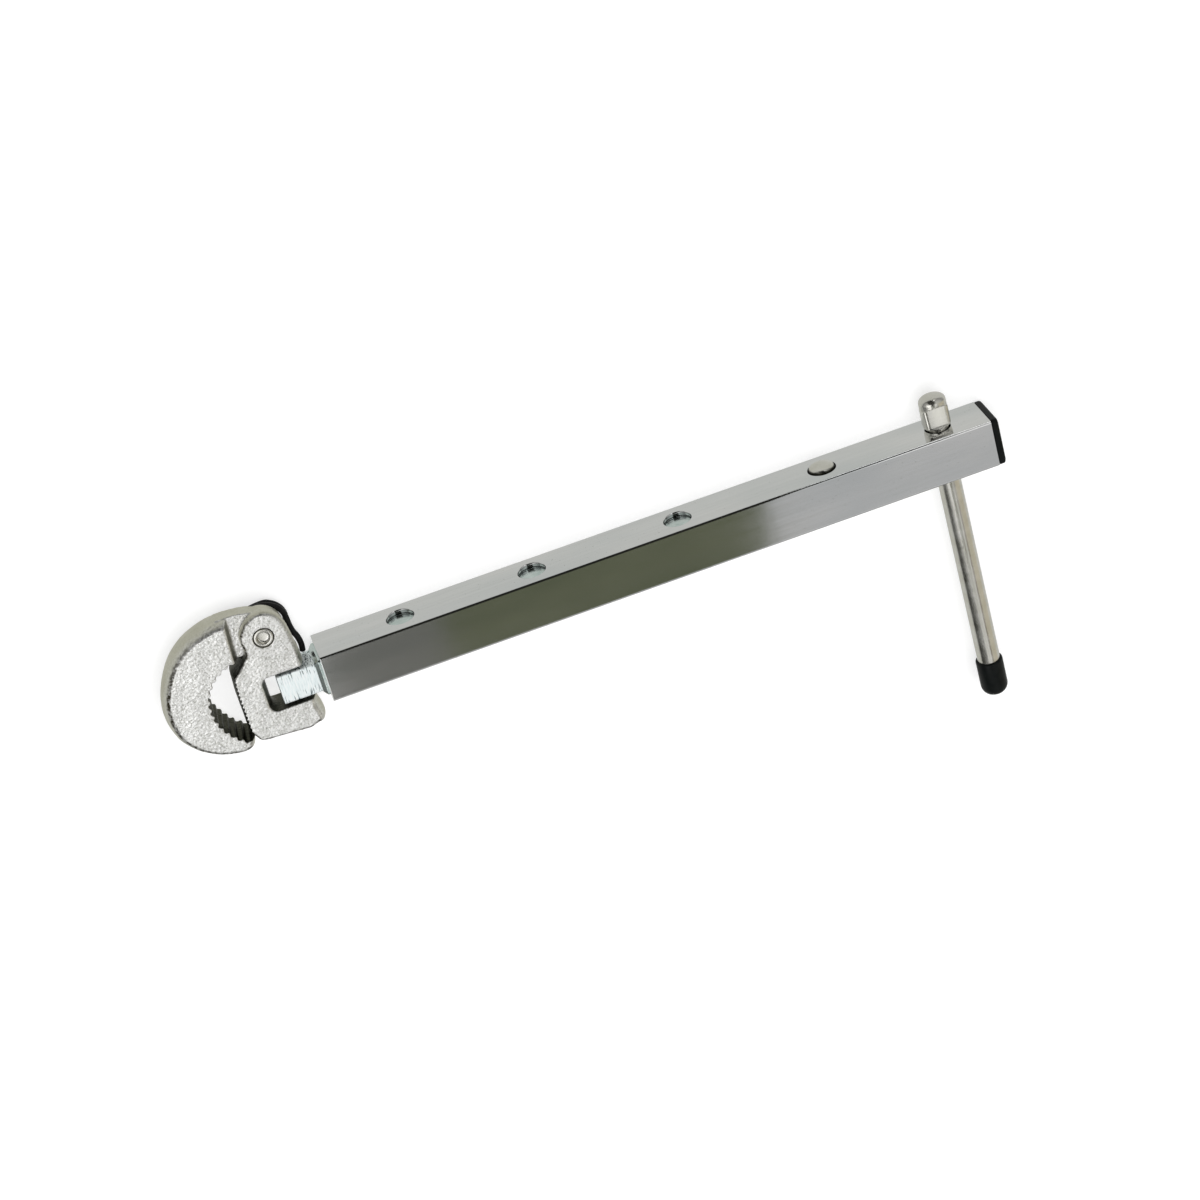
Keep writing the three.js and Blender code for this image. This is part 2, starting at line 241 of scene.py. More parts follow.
def skin(name, field, low, high, step):
    """A closed mesh of the surface where the field is zero, by the surface nets method."""
    axes = [np.arange(a, b + step, step) for a, b in zip(low, high)]
    shape = [len(axis) for axis in axes]
    grid = field(axes[0][:, None, None], axes[1][None, :, None], axes[2][None, None, :])
    grid = np.broadcast_to(grid, shape)
    cells = [n - 1 for n in shape]
    corners, crossings = [], []
    for a in range(3):
        b, c = (a + 1) % 3, (a + 2) % 3
        before = np.take(grid, range(shape[a] - 1), axis=a)
        after = np.take(grid, range(1, shape[a]), axis=a)
        at = np.argwhere((before < 0) != (after < 0))
        first, second = before[tuple(at.T)], after[tuple(at.T)]
        point = at.astype(float)
        point[:, a] += first / (first - second)
        step_b, step_c = np.eye(3, dtype=int)[b], np.eye(3, dtype=int)[c]
        quad = np.stack([at, at - step_b, at - step_b - step_c, at - step_c], axis=1)
        outward = (first < 0)[:, None, None]
        corners.append(np.where(outward, quad, quad[:, ::-1]))
        crossings.append(np.repeat(point[:, None], 4, axis=1))
    corners = np.concatenate(corners)
    crossings = np.concatenate(crossings)
    ids = np.ravel_multi_index(corners.reshape(-1, 3).T, cells)
    _, faces = np.unique(ids, return_inverse=True)
    counts = np.bincount(faces)
    crossings = crossings.reshape(-1, 3)
    points = np.stack([np.bincount(faces, crossings[:, k]) / counts for k in range(3)])
    points = points * step + np.array(low)[:, None]
    points = settled(field, points, step)
    return make(name, points.T, faces.reshape(-1, 4), sharp=None)


def settled(field, points, step):
    """Moves points onto the field's zero surface, along its slope."""
    nudge = 0.02
    for _ in range(2):
        value = field(*points)
        slope = np.stack([
            (field(*(points + side[:, None])) - value) / nudge for side in np.eye(3) * nudge
        ])
        move = value * slope / np.maximum((slope ** 2).sum(0), 0.25)
        points = points - np.clip(move, -step / 2, step / 2)
    return points


def outline(points):
    """The signed distance from (x, y) to a closed outline, negative inside it."""
    starts = np.array(points, float)
    ends = np.roll(starts, -1, axis=0)

    def distance(x, y):
        nearest = np.full(np.broadcast(x, y).shape, np.inf)
        inside = np.zeros(nearest.shape, bool)
        for (ax, ay), (bx, by) in zip(starts, ends):
            ex, ey = bx - ax, by - ay
            wx, wy = x - ax, y - ay
            t = np.clip((wx * ex + wy * ey) / (ex * ex + ey * ey), 0, 1)
            nearest = np.minimum(nearest, (wx - ex * t) ** 2 + (wy - ey * t) ** 2)
            if ey:
                inside ^= ((ay > y) != (by > y)) & (wx < ex * wy / ey)
        return np.where(inside, -1, 1) * np.sqrt(nearest)

    return distance


def curve(points, per_span=6):
    """A smooth line through the points."""
    p = np.array([points[0], *points, points[-1]], float)
    out = []
    for a, b, c, d in zip(p, p[1:], p[2:], p[3:]):
        for t in np.arange(per_span) / per_span:
            out.append(0.5 * (2 * b + (c - a) * t + (2 * a - 5 * b + 4 * c - d) * t ** 2
                              + (3 * b - a - 3 * c + d) * t ** 3))
    out.append(p[-1])
    return [tuple(q) for q in out]


def circle(x, y, radius, centre=PIVOT):
    return np.hypot(x - centre.x, y - centre.y) - radius


def both(a, b, soft):
    """Where both fields are metal, with the edge between them rounded."""
    h = np.clip(0.5 + 0.5 * (a - b) / soft, 0, 1)
    return b + (a - b) * h + soft * h * (1 - h)


def either(a, b, soft):
    """Where either field is metal, with a fillet between them."""
    return -both(-a, -b, soft)


def slab(distance, z, half, crown, edge):
    """A flat-faced casting whose rim bulges by `crown` and meets its faces in a small radius."""
    side = distance + crown * (z / half) ** 2
    face = np.abs(z) - half
    corner = np.hypot(np.maximum(side + edge, 0), np.maximum(face + edge, 0))
    return corner + np.minimum(np.maximum(side, face) + edge, 0) - edge


def smooth_step(low, high, value):
    t = np.clip((value - low) / (high - low), 0, 1)
    return t * t * (3 - 2 * t)


def lumps(x, y, z):
    """The slow unevenness of a cast surface, in millimetres. It only takes metal away."""
    depth = 0.02
    broad = np.sin(0.62 * x + 0.45 * y) * np.sin(0.7 * y - 0.5 * z)
    return depth * (2 + (broad + np.sin(0.93 * x - 0.31 * y + z)))


def toothed(line, pitch, depth):
    """The points of a line with rounded saw teeth cut into its left side."""
    line = np.array(line, float)
    lengths = np.concatenate([[0], np.cumsum(np.hypot(*np.diff(line, axis=0).T))])
    count = round(lengths[-1] / pitch)
    points = []
    profile = [(0, 0), (0.2, 0.1), (0.42, 0.85), (0.55, 1), (0.72, 0.75), (0.9, 0.1)]
    for tooth in range(count):
        for share, height in profile:
            s = (tooth + share) * lengths[-1] / count
            at = np.array([np.interp(s, lengths, line[:, k]) for k in (0, 1)])
            ahead = np.array([np.interp(s + 0.3, lengths, line[:, k]) for k in (0, 1)])
            behind = np.array([np.interp(s - 0.3, lengths, line[:, k]) for k in (0, 1)])
            tangent = (ahead - behind) / np.hypot(*(ahead - behind))
            points.append(tuple(at + np.array([-tangent[1], tangent[0]]) * depth * height))
    return points


HOOK_RIM = curve([(-18, 28.8), (-24, 28.9), (-30, 28.2), (-36.8, 25.6), (-42.8, 20.7),
                  (-47.2, 13.4), (-49.4, 6.5), (-49.5, 0), (-47.6, -6.6), (-43.2, -12),
                  (-37.4, -15.6), (-31.6, -17.1), (-28.4, -17), (-26.5, -16), (-25.8, -14.3)])
HOOK_INNER = curve([(-24.7, 14.2), (-29, 12.6), (-32.8, 9.3), (-35, 4.7), (-35.4, -0.7),
                    (-34, -5.6), (-31, -10), (-27.6, -12.8)])
HOOK_BLANK = outline([*HOOK_RIM, (-25.4, -13), (-18, -13)])
HOOK_GAP = outline([(-23.8, 14.1), *toothed(HOOK_INNER, 2.45, -0.75), (-26.9, -13.1),
                    (-10, -13), (-10, 14.1)])
EYE = outline([(-26, 14.1), (-21.2, 14.1), (-20.4, 14.5)]
              + [(PIVOT.x + 7.4 * math.cos(a), PIVOT.y + 7.4 * math.sin(a))
                 for a in np.linspace(math.radians(235), math.radians(450), 36)]
              + [(-15.5, 27.7), (-18.2, 28.3), (-20.5, 28.6), (-26, 28.75)])


def hook_bite(x, y, z):
    """The toothed gap, whose lower wall leans in towards the far face."""
    lean = 0.5 * (1 - z / HALF_JAW) * smooth_step(5, -5, y)
    return HOOK_GAP(x - 1.2 * lean, y - 0.8 * lean)


def hook_field(x, y, z):
    eye_low, eye_high = -2.6, 2.4
    eye_middle, eye_half = (eye_low + eye_high) / 2, (eye_high - eye_low) / 2
    boss_radius, boss_low = 4.1, -6.3
    body = slab(HOOK_BLANK(x, y), z, HALF_JAW, HOOK_CROWN, edge=0.7)
    step_x, step_y, step_lean = -22.9, 21.5, 0.05
    step = ((x - step_x - step_lean * (y - step_y)) * 0.93
            + (np.abs(z) - eye_high) * 0.37)
    eye = slab(EYE(x, y), z - eye_middle, eye_half, crown=0, edge=0.3)
    boss = np.maximum(circle(x, y, boss_radius), np.maximum(z, boss_low - z))
    metal = either(both(body, step, 0.7), eye, 0.4)
    metal = both(metal, -hook_bite(x, y, z), 0.3)
    metal = either(metal, boss, 0.3) + lumps(x, y, z)
    return both(metal, -circle(x, y, RIVET_BORE), 0.2)


HEEL_BLANK = outline([
    (-29, 7), (-29, -9.8),
    *curve([(-27, -10.6), (-26, -12.2), (-24.8, -14.1), (-22.6, -14.9), (-19, -15.1)], 4),
    *curve([(-15.8, -15.5), (-9.4, -16.1), (-6.2, -16.3), (-4.2, -15.9), (-3.2, -14.6),
            (-2.9, -12.6), (-3.2, -10.4), (-4.1, -6), (-4.5, 5.6), (-4.7, 9.4), (-4.8, 13.6),
            (-5.1, 17), (-5.5, 20), (-6.15, 22.6), (-7.4, 25.1), (-9.3, 27), (-11.7, 28.1),
            (-14.1, 28.1), (-16.8, 26.9), (-19, 25), (-20.4, 23), (-21, 21.3), (-21.1, 19.3),
            (-20.9, 17.2), (-21, 15.5)], 3),
    (-21.7, 14.4), (-24.9, 11), (-26.4, 9.8), (-27.4, 8.6)])
HEEL_BITE = outline([(-40, 16), *toothed([(-26.4, 9), (-26.75, 3), (-26.65, -9), (-26.3, -12)],
                                         1.5, -0.4), (-26, -20), (-40, -20)])


def heel_bite(x, y, z):
    return HEEL_BITE(x - 0.5 * (z / HALF_JAW) ** 2, y)


def heel_crown(x, y):
    low_right = smooth_step(-9, -5.5, x) * (1 - smooth_step(-9, -4, y))
    return 0.6 + 0.2 * smooth_step(-20, -14, x) + 0.4 * smooth_step(-10, -6, x) + low_right


def slot_field(x, y, z):
    """The slot for the tongue: straight above and below, with a bulging blind end."""
    corner, blind_end, bulge, half_wide = 2.4, -17.5, 1.5, 6.05
    ahead = blind_end - bulge * (z / HALF_JAW) ** 2 + corner - x
    aside = np.abs(y) - (half_wide - corner)
    return (np.hypot(np.maximum(ahead, 0), np.maximum(aside, 0))
            + np.minimum(np.maximum(ahead, aside), 0) - corner)


def heel_field(x, y, z):
    ear_low = 2.7
    room_radius, room_left, room_right = 9.2, 13.8, 11.3
    body = slab(HEEL_BLANK(x, y), z, HALF_JAW, heel_crown(x, y), edge=0.6)
    body = both(body, -heel_bite(x, y, z), 0.2) + lumps(x, y, z)
    body = both(body, -slot_field(x, y, z), 0.5)
    room = np.minimum(circle(x, y, room_radius),
                      np.where(x > PIVOT.x, room_right, room_left) - y)
    body = both(body, -np.maximum(room, z - ear_low), 0.3)
    body = both(body, -circle(x, y, RIVET_BORE), 0.2)
    pin_hole = np.hypot(x - TILT.x, z) - TILT_BORE
    return both(body, -pin_hole, 0.2)


def pebbled(piece, size, depth):
    """Presses a cast grain into the surface: rounded pebbles with narrow creases between them."""
    shift = Vector((7.3, 1.9, 4.1))
    places, normals = surface_of(piece)
    depths = []
    for spot in places:
        near = noise.voronoi(Vector(spot) / size)[0]
        crease = 1 - min(1, 2.2 * (near[1] - near[0]))
        slow = 0.5 + 0.5 * noise.noise(Vector(spot) / (2.5 * size) + shift)
        depths.append(depth * (0.65 * crease + 0.35 * slow))
    places = (places - normals * np.array(depths)[:, None]) * MM + np.array(ORIGIN)
    piece.data.vertices.foreach_set("co", places.ravel())
    piece.data.update()


# ---------------------------------------------------------------- materials

class Finish:
    """A material whose colour, roughness and grain come from noises. Sizes are millimetres."""

    def __init__(self, name, color, roughness, metallic=1.0, specular=0.5):
        self.material = bpy.data.materials.new(name)
        self.material.use_nodes = True
        self.tree = self.material.node_tree
        self.shader = self.tree.nodes["Principled BSDF"]
        self.shader.inputs["Base Color"].default_value = (*color, 1)
        self.shader.inputs["Roughness"].default_value = roughness
        self.shader.inputs["Metallic"].default_value = metallic
        self.shader.inputs["Specular IOR Level"].default_value = specular
        self.normal = None

    def add(self, kind, **inputs):
        node = self.tree.nodes.new("ShaderNode" + kind)
        for name, value in inputs.items():
            self.feed(node.inputs[name.replace("_", " ")], value)
        return node

    def feed(self, socket, value):
        if isinstance(value, bpy.types.NodeSocket):
            self.tree.links.new(value, socket)
        else:
            socket.default_value = value

    def sized(self, size, stretch):
        """Object coordinates, scaled so that one unit is one feature of the given size."""
        where = self.add("TexCoord").outputs["Object"]
        scale = [1 / (size * MM * amount) for amount in stretch]
        return self.add("Mapping", Vector=where, Scale=scale).outputs["Vector"]

    def noise(self, size, stretch=(1, 1, 1), detail=2.0, rough=0.5):
        node = self.add("TexNoise", Vector=self.sized(size, stretch), Scale=1.0,
                        Detail=detail, Roughness=rough)
        return node.outputs["Fac"]

    def cells(self, size, stretch=(1, 1, 1)):
        node = self.add("TexVoronoi", Vector=self.sized(size, stretch), Scale=1.0)
        return node.outputs["Distance"]

    def weight(self, name):
        node = self.add("Attribute")
        node.attribute_name = name
        return node.outputs["Fac"]

    def ramp(self, value, low, high, start=0.3, stop=0.7):
        """Runs from `low` to `high` as the value goes from start to stop; numbers or colours."""
        if not isinstance(low, tuple):
            node = self.add("MapRange", Value=value, From_Min=start, From_Max=stop,
                            To_Min=low, To_Max=high)
            return node.outputs["Result"]
        node = self.add("ValToRGB", Fac=value)
        for element, stop_at, color in zip(node.color_ramp.elements, (start, stop), (low, high)):
            element.position = stop_at
            element.color = (*color, 1)
        return node.outputs["Color"]

    def mix(self, factor, first, second, how="MIX"):
        node = self.tree.nodes.new("ShaderNodeMix")
        node.data_type = "RGBA"
        node.blend_type = how
        for index, value in ((0, factor), (6, first), (7, second)):
            self.feed(node.inputs[index], (*value, 1) if isinstance(value, tuple) else value)
        return node.outputs[2]

    def math(self, how, first, second=0.0):
        node = self.add("Math")
        node.operation = how
        self.feed(node.inputs[0], first)
        self.feed(node.inputs[1], second)
        return node.outputs["Value"]

    def color(self, socket):
        self.feed(self.shader.inputs["Base Color"], socket)

    def roughness(self, socket):
        self.feed(self.shader.inputs["Roughness"], socket)

    def grain(self, height, depth):
        """Adds a relief of this depth to whatever relief is there already."""
        bump = self.add("Bump", Height=height, Distance=depth * MM)
        if self.normal:
            self.feed(bump.inputs["Normal"], self.normal)
        self.normal = bump.outputs["Normal"]
        self.feed(self.shader.inputs["Normal"], self.normal)


ALONG_TUBE = (40, 1, 1)
ALONG_TEE = (1, 40, 1)


def plated_tube():
    """Bright zinc on a drawn tube: long faint draw lines, cloudy plating and a few specks."""
    zinc = Finish("zinc_tube", (0.7, 0.71, 0.71), 0.1)
    clouds = zinc.noise(16, (3, 1, 1), detail=3)
    streaks = zinc.noise(1.1, ALONG_TUBE, detail=3)
    specks = zinc.noise(0.6, detail=1)
    color = zinc.ramp(clouds, (0.645, 0.665, 0.67), (0.75, 0.75, 0.745))
    color = zinc.mix(zinc.ramp(streaks, 0.0, 0.12), color, (0.5, 0.5, 0.47))
    zinc.color(zinc.mix(zinc.ramp(specks, 0.0, 0.45, 0.72, 0.8), color, (0.3, 0.3, 0.27)))
    zinc.roughness(zinc.math("ADD", zinc.ramp(clouds, 0.06, 0.085),
                             zinc.ramp(streaks, 0.0, 0.02)))
    zinc.grain(zinc.noise(11), 0.01)
    return zinc.material


def milled_bar():
    """Bluish zinc on the sliding bar; its tongue has cutter marks that run in from the edges."""
    zinc = Finish("zinc_bar", (0.74, 0.85, 0.85), 0.22)
    milled = zinc.weight("milled")
    marks = zinc.noise(0.32, (1, 9, 3), detail=2)
    clouds = zinc.noise(3)
    across = zinc.add("SeparateXYZ", Vector=zinc.add("TexCoord").outputs["Object"]).outputs["Y"]
    across = zinc.math("ABSOLUTE", across)
    near_edge = zinc.ramp(across, 0.1, 1.0, 1.5 * MM, 4.2 * MM)
    dark = zinc.math("MULTIPLY", zinc.ramp(marks, 1.0, 0.0, 0.37, 0.45), near_edge)
    dark = zinc.math("MULTIPLY", dark, milled)
    plain = zinc.ramp(clouds, (0.52, 0.61, 0.59), (0.66, 0.73, 0.71))
    bright = zinc.ramp(marks, (0.86, 0.94, 0.95), (0.97, 1, 1), 0.45, 0.7)
    color = zinc.mix(milled, plain, bright)
    zinc.color(zinc.mix(dark, color, (0.05, 0.08, 0.09)))
    zinc.feed(zinc.shader.inputs["Metallic"], zinc.ramp(milled, 1.0, 0.6, 0, 1))
    zinc.roughness(zinc.ramp(milled, 0.2, 0.42, 0, 1))
    zinc.grain(zinc.math("MULTIPLY", marks, milled), 0.008)
    zinc.grain(zinc.noise(6), 0.01)
    return zinc.material


def cast_plate():
    """Nickel over a grainy casting: bright on its faces; darker on its rims, partly duller cast skin and partly
    painted reflection; painted shade in its bite.
    """
    nickel = Finish("cast_nickel", (0.8, 0.79, 0.76), 0.4)
    pebbles = nickel.cells(0.9)
    fine = nickel.noise(0.6, detail=3, rough=0.6)
    clouds = nickel.noise(6, detail=2)
    face = nickel.ramp(fine, (0.56, 0.56, 0.52), (1, 1, 0.985), 0.3, 0.56)
    # Rims get a darker beige: partly the duller cast skin, partly painted reflection of a dim surround.
    rim = nickel.ramp(clouds, (0.6, 0.59, 0.49), (0.72, 0.71, 0.62))
    rim = nickel.mix(nickel.ramp(fine, 0.25, 0.0), rim, (0.3, 0.28, 0.2))
    # Painted shade and dark reflection for the bite, the slot and the wall under the ear.
    bite = nickel.ramp(fine, (0.02, 0.021, 0.012), (0.085, 0.086, 0.06))
    color = nickel.mix(nickel.weight("rim"), face, rim)
    # A dark line along the face's edge: partly dirt, partly painted shade and dark reflection.
    spots = nickel.ramp(nickel.noise(1.1, detail=2), 0.35, 1.0, 0.42, 0.56)
    dirt_and_shade = nickel.math("MULTIPLY", nickel.weight("edge"), spots)
    color = nickel.mix(dirt_and_shade, color, (0.045, 0.038, 0.02))
    nickel.color(nickel.mix(nickel.weight("bite"), color, bite))
    nickel.roughness(nickel.ramp(clouds, 0.34, 0.46))
    nickel.grain(pebbles, 0.08)
    nickel.grain(fine, 0.1)
    return nickel.material


def bright_nickel():
    """Warm bright nickel on the turned pieces, with faint handling marks."""
    nickel = Finish("nickel", (0.76, 0.75, 0.71), 0.17)
    clouds = nickel.noise(5, detail=3)
    lines = nickel.noise(0.3, ALONG_TEE, detail=2)
    clean = nickel.ramp(clouds, (0.6, 0.59, 0.53), (0.72, 0.71, 0.67))
    # Painted shade where the button sits down in its hole.
    nickel.color(nickel.mix(nickel.weight("painted_gap_shade"), clean, (0.03, 0.03, 0.02)))
    nickel.roughness(nickel.ramp(clouds, 0.19, 0.27))
    nickel.grain(lines, 0.002)
    nickel.grain(nickel.noise(2.5), 0.012)
    return nickel.material


def turned_steel():
    """Plain steel pins and the washer, with fine lathe rings worn into a dull film."""
    steel = Finish("pin_steel", (0.5, 0.5, 0.49), 0.3)
    clouds = steel.noise(2.5, detail=3)
    steel.color(steel.ramp(clouds, (0.4, 0.4, 0.38), (0.6, 0.6, 0.58)))
    steel.roughness(steel.ramp(clouds, 0.24, 0.42))
    steel.grain(steel.noise(0.25), 0.006)
    return steel.material


def black_wire():
    """Oiled black spring wire, rubbed a little brighter in places."""
    wire = Finish("spring_steel", (0.012, 0.012, 0.012), 0.35, metallic=0, specular=0.2)
    rubs = wire.noise(1.6, detail=3)
    wire.color(wire.ramp(rubs, (0.004, 0.004, 0.004), (0.014, 0.014, 0.014), 0.45, 0.75))
    wire.roughness(wire.ramp(rubs, 0.32, 0.5))
    wire.grain(wire.noise(0.3), 0.01)
    return wire.material


def black_vinyl():
    """Black moulded plastic on the plug and the grip cap, with a soft skin of fine grain."""
    vinyl = Finish("black_plastic", (0.008, 0.009, 0.009), 0.35, metallic=0, specular=0.12)
    dust = vinyl.noise(3, detail=4)
    vinyl.color(vinyl.ramp(dust, (0.002, 0.003, 0.003), (0.006, 0.0075, 0.007)))
    vinyl.roughness(vinyl.ramp(dust, 0.28, 0.42))
    vinyl.grain(vinyl.noise(0.35), 0.012)
    return vinyl.material


MATERIALS = {
    "zinc_tube": plated_tube(),
    "zinc_bar": milled_bar(),
    "cast_nickel": cast_plate(),
    "nickel": bright_nickel(),
    "pin_steel": turned_steel(),
    "spring_steel": black_wire(),
    "black_plastic": black_vinyl(),
}


# ---------------------------------------------------------------- pieces

def build_tube():
    """The square tube, with rounded lips, four lock holes in a face and the T-bar's hole."""
    length, half, wall = TUBE_END.x, HALF_TUBE, 1.5
    corner, bore_corner, lip = 0.75, 0.4, 0.2
    foot = half - wall
    loops = [
        square_loop(lip, half, corner), square_loop(lip * 0.3, half - lip * 0.3, corner),
        square_loop(0, half - lip, corner), square_loop(0, foot + lip, bore_corner + 0.1),
        square_loop(lip, foot, bore_corner), square_loop(length - lip, foot, bore_corner),
        square_loop(length, foot + lip, bore_corner + 0.1),
        square_loop(length, half - lip, corner), square_loop(length - lip, half, corner),
    ]
    tube = lofted("tube", loops, closed=True)
    radius, flare, roll = HOLE_RADIUS, 0.3, 0.55
    profile = [(0, foot - 1), (radius + flare, foot - 1), (radius + flare, foot + 0.25),
               (radius, foot + 0.35)]
    for turn in np.linspace(0, math.pi / 2, 6):
        profile.append((radius + roll * (1 - math.cos(turn)), half - roll * (1 - math.sin(turn))))
    profile += [(radius + roll + 0.05, half + 1), (0, half + 1)]
    holes = [turned("hole", profile, (x, 0, 0), (0, 1, 0), 96) for x in LOCK_X]
    tee = 4.05
    profile = [(0, -half - 1), (tee + 1.2, -half - 1), (tee + 0.2, -half), (tee, -half + 0.2),
               (tee, half - 0.2), (tee + 0.2, half), (tee + 1.2, half + 1), (0, half + 1)]
    holes.append(turned("hole", profile, (TEE_X, 0, 0), (0, 1, 0), 96))
    cut_with(tube, *holes)
    flat_faced(tube)
    place(tube, "outer_tube")


def build_plug():
    """The plug: a square flange with a bevelled end, and a stem inside the tube."""
    low, high = tube_box("end_plug")
    flange, stem = TUBE_END.x + 0.05, 6.2
    half, bevel = HALF_TUBE, 0.9
    loops = [square_loop(low.x, stem - 0.4, 0.6), square_loop(low.x + 0.5, stem, 0.8),
             square_loop(flange, stem, 0.8), square_loop(flange, half - 0.15, 1.1),
             square_loop(flange + 0.15, half, 1.2)]
    for step in range(5):
        angle = step / 4 * math.pi / 2
        loops.append(square_loop(high.x - bevel * (1 - math.sin(angle)),
                                 half - bevel * (1 - math.cos(angle)), 1.2))
    plug = lofted("plug", loops, closed=False)
    flat_faced(plug)
    place(plug, "end_plug")


def build_slide_bar():
    """The sliding bar: a square tube with a narrowed mouth and the button's hole."""
    low, high = tube_box("inner_tube")
    half, bore, nose = high.y, 5.2, 1.1
    corner, bore_corner, hole = 1, 0.4, 4.7
    loops = [square_loop(low.x, half - nose, 0.7),
             square_loop(low.x + nose, half - 0.05, corner),
             square_loop(low.x + nose + 0.2, half, corner), square_loop(high.x, half, corner),
             square_loop(high.x, bore, bore_corner), square_loop(low.x, bore, bore_corner)]
    bar = lofted("slide_bar", loops, closed=True)
    profile = [(0, 3), (hole, 3), (hole, half - 0.2), (hole + 0.15, half),
               (hole + 0.3, half + 1), (0, half + 1)]
    cut_with(bar, turned("hole", profile, (LOCK_X[-1], 0, 0), (0, 1, 0), 96))
    flat_faced(bar)
    place(bar, "inner_tube")


def build_tongue():
    """The square bar inside the sliding bar, with the tilt pin's hole across it."""
    low, high = tube_box("shank_tongue")
    half, corner, lip = high.y, 0.55, 0.35
    loops = [square_loop(low.x, half - lip, corner),
             square_loop(low.x + lip * 0.4, half - 0.1, corner),
             square_loop(low.x + lip, half, corner), square_loop(high.x, half, corner)]
    tongue = lofted("tongue", loops, closed=False)
    profile = [(0, -8), (TILT_BORE, -8), (TILT_BORE, 8), (0, 8)]
    cut_with(tongue, turned("hole", profile, (TILT.x, 0, 0), (0, 1, 0), 64))
    flat_faced(tongue)
    marked(tongue, "milled", lambda *surface: 1.0)
    place(tongue, "shank_tongue")


def build_button():
    """A lock button: a flange that stays inside, and a domed head that shows in the hole."""
    low, high = tube_box("lock_button")
    radius, flange, dome, edge = 4.1, 4.95, 0.3, 1.2
    profile = [(0, low.y), (flange - 0.1, low.y), (flange, low.y + 0.1), (flange, low.y + 1.4),
               (radius, low.y + 1.5), (radius, high.y - dome - edge)]
    for step in range(1, 8):
        angle = math.pi / 2 * step / 8
        profile.append((radius - edge * 1.3 * (1 - math.cos(angle)),
                        high.y - dome - edge * (1 - math.sin(angle))))
    for share in (0.6, 0.4, 0.2):
        profile.append((radius * share, high.y - dome * share ** 2 * 1.3))
    profile.append((0, high.y))
    button = turned("button", profile, (LOCK_X[-1], 0, 0), (0, 1, 0), 72, 50)
    # Painted shade on the button below its domed head, in the gap to the hole.
    marked(button, "painted_gap_shade", lambda x, y, z, *normal: 1 - smooth_step(8.3, 8.7, y))
    place(button, "lock_button")


def tee_section(y, low, high, sides=72):
    """One ring of the T-bar: round, but struck flat and broad above the tube, with a domed end."""
    round_half, dome, press_start, press_end = 3.7, 2.6, 8.7, 15.7
    rise = max(0, (y - high + dome) / dome)
    tip = math.sqrt(max(0, 1 - rise ** 2.4)) * min(1, 0.93 + 0.35 * (y - low))
    wide = round_half + 0.7 * float(smooth_step(7.9, 9.5, y))
    loop = []
    for i in range(sides):
        turn = 2 * math.pi * i / sides
        c, s = math.cos(turn), math.sin(turn)
        arch = y + 1.6 * c * c
        struck = float(smooth_step(press_start, press_start + 0.9, y - 0.9 * c * c)
                       * (1 - smooth_step(press_end, press_end + 0.9, arch)))
        slope = (y - press_start) / (press_end - press_start)
        deep = round_half - struck * (0.65 + 0.6 * slope)
        across = math.copysign(abs(c) ** (2 / (2 + 8 * struck)), c)
        loop.append((TEE_X - wide * across * tip, y, deep * s * tip))
    return loop


def build_tee():
    """A round rod whose upper end is struck flat, front and back, so that it can't fall out."""
    low, high = tube_box("tee_bar")
    top = high.y
    places = [low.y, low.y + 0.05, low.y + 0.2, *np.arange(low.y + 1, 6, 4),
              *np.arange(6.5, top - 0.4, 0.2), top - 0.25, top - 0.1, top - 0.03, top - 0.005]
    loops = [tee_section(y, low.y, top) for y in places]
    place(lofted("tee_rod", loops, closed=False, sharp=60), "tee_bar")


def build_cap():
    """A cup pressed over the T-bar's lower end, with a domed bottom."""
    low, high = tube_box("tee_bar_cap")
    radius, bore, dome, bottom = 4.4, 3.85, 3.6, 2.6
    profile = [(0, low.y)]
    for step in range(1, 12):
        angle = step / 11 * math.pi / 2
        profile.append((radius * math.sin(angle) ** 0.75, low.y + dome * (1 - math.cos(angle))))
    profile += [(radius, high.y - 0.5), (radius - 0.1, high.y - 0.12), (radius - 0.35, high.y),
                (bore, high.y), (bore, low.y + bottom), (0, low.y + bottom)]
    cap = turned("cap", profile, (TEE_X, 0, 0), (0, 1, 0), 72, 50)
    place(cap, "tee_bar_cap")


def grid_start(low):
    """The castings' grid begins where their flat faces fall midway between two layers."""
    x, y, layers = low
    return (x, y, -CAST_STEP * (round(layers / CAST_STEP) + 0.5))


def rim_weight(x, y, z, nx, ny, nz):
    """One on the walls of a casting, and none on its faces."""
    return smooth_step(0.25, 0.75, 1 - np.abs(nz))


def edge_weight(blank, crown):
    """Dirt and painted shade along the edge between face and rim, most of it towards the open end."""
    def weight(x, y, z, nx, ny, nz):
        nudge = 0.1
        inset = blank(x, y)
        out_x = (blank(x + nudge, y) - inset) / nudge
        out_y = (blank(x, y + nudge) - inset) / nudge
        side = inset + crown(x, y) * (z / HALF_JAW) ** 2
        line = np.clip(2 * np.exp(-(side / 0.45) ** 2), 0, 1)
        # Stronger on edges that face -x and -y: painted shade on that side.
        lean = np.clip(0.75 - 0.5 * out_y - 0.45 * out_x, 0.35, 1)
        return line * lean * smooth_step(3.8, 4.8, np.abs(z))
    return weight


def build_heel():
    """The cast fixed jaw, with its bite, its slot and the ear under the rivet."""
    heel = skin("heel", heel_field, grid_start((-28, -17.5, 6.2)), (-2.5, 29.5, 6.2), CAST_STEP)
    pebbled(heel, PEBBLE, PEBBLE_DEPTH)
    marked(heel, "rim", rim_weight)
    marked(heel, "edge", edge_weight(HEEL_BLANK, heel_crown))
    # Paints shade into the slot, the bite's teeth and the wall under the ear.
    marked(heel, "bite", heel_painted_shade)
    place(heel, "heel_jaw")


